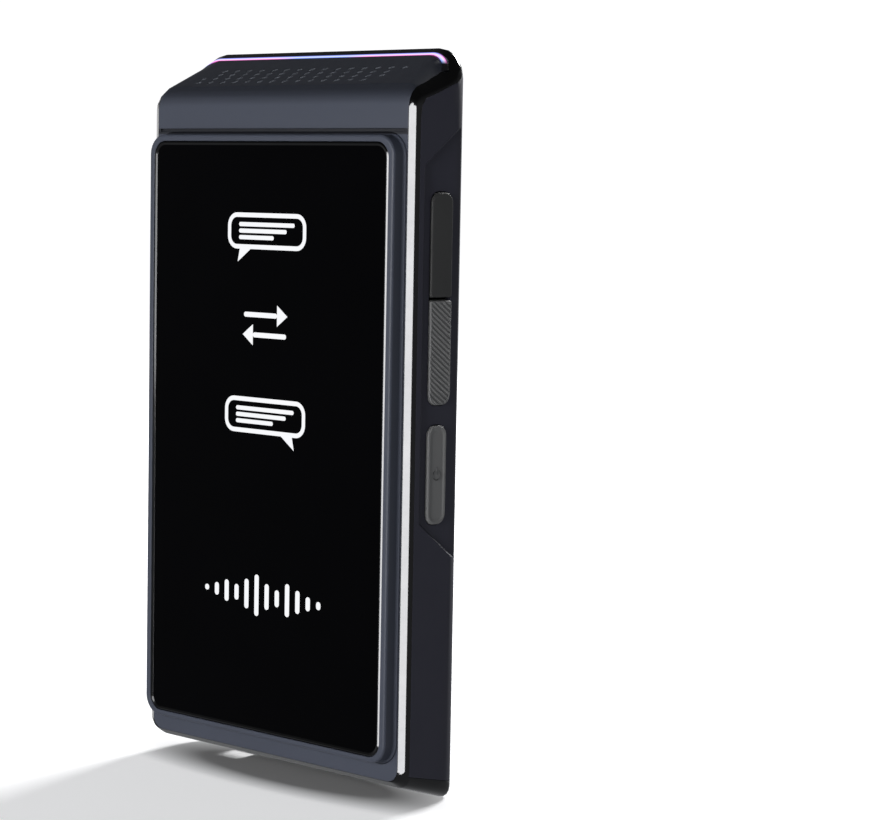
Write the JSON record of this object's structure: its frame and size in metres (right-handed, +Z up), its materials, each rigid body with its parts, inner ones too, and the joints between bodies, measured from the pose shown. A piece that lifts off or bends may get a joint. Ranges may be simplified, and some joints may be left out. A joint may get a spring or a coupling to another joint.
{
  "type": "handheld translator",
  "caption": "Handheld translator with a glass screen in a raised bezel, sloped speaker head with light bar, side keys, card tray and rear camera.",
  "frame": {"origin": "centre of the box round the part", "axes": "+Z up the screen towards the speaker head, +Y out of the back, +X to the right seen from the screen side"},
  "size_m": [0.0736, 0.0198, 0.1466],
  "materials": {
    "slate": "satin",
    "dark_slate": "soft touch",
    "grey_slate": "soft touch",
    "black_chrome": "polished dark",
    "black_glass": "polished",
    "black_plastic": "matte",
    "light_guide": "lit",
    "lens_ring": "polished dark",
    "lens_glass": "polished",
    "white_plastic": "satin",
    "key_dark": "satin",
    "key_grey": "satin",
    "steel": "satin",
    "circuit_board": "matte",
    "battery_wrap": "matte",
    "contacts": "satin",
    "flex_film": "matte"
  },
  "bodies": {
    "housing": {"front_frame": "slate", "display_bezel": "slate", "display_glass": "black_glass", "display_panel": "black_plastic", "trim_ring": "black_chrome", "light_bar": "light_guide", "led_board": "circuit_board", "speaker_mesh": "black_plastic", "speaker_module": "black_plastic", "rear_shell": "dark_slate", "back_panel": "grey_slate", "camera_window": "black_glass", "camera_lens_ring": "lens_ring", "camera_lens": "lens_glass", "camera_module": "black_plastic", "flash_lens": "white_plastic", "flash_led": "contacts", "chassis_plate": "steel", "main_board": "circuit_board", "shield_can_upper": "steel", "shield_can_lower": "steel", "battery": "battery_wrap", "sub_board": "circuit_board", "board_link_flex": "flex_film", "vibration_motor": "steel", "usb_socket": "steel", "top_microphone": "contacts", "bottom_microphone": "contacts", "top_antenna": "flex_film", "shell_screw_1": "steel", "shell_screw_2": "steel", "shell_screw_3": "steel", "shell_screw_4": "steel", "right_key_board": "circuit_board", "left_key_board": "circuit_board", "key_switch_talk_upper": "steel", "key_switch_talk_lower": "steel", "key_switch_power": "steel", "key_switch_volume_up": "steel", "key_switch_volume_down": "steel", "sim_connector": "steel"},
    "talk_key_upper": {"talk_button_upper": "key_dark"},
    "talk_key_lower": {"talk_button_lower": "key_grey"},
    "power_key": {"power_button": "key_grey"},
    "volume_key": {"volume_rocker": "key_grey"},
    "card_tray": {"sim_tray": "black_chrome", "sim_card": "white_plastic"}
  },
  "joints": [
    {"name": "talk_upper_press", "type": "slide", "parent": "housing", "child": "talk_key_upper", "axis": [-1, 0, 0], "range_m": [0, 0.0003], "stiffness_N_per_m": 1500},
    {"name": "talk_lower_press", "type": "slide", "parent": "housing", "child": "talk_key_lower", "axis": [-1, 0, 0], "range_m": [0, 0.0003], "stiffness_N_per_m": 1500},
    {"name": "power_press", "type": "slide", "parent": "housing", "child": "power_key", "axis": [-1, 0, 0], "range_m": [0, 0.0003], "stiffness_N_per_m": 1500},
    {"name": "volume_rock", "type": "hinge", "parent": "housing", "child": "volume_key", "pos_m": [-0.03358, 0.0019, 0.0291], "axis": [0, 1, 0], "range_deg": [-1.4, 1.4], "stiffness_Nm_per_rad": 0.6},
    {"name": "tray_slide", "type": "slide", "parent": "housing", "child": "card_tray", "axis": [-1, 0, 0], "range_m": [0, 0.017]}
  ]
}
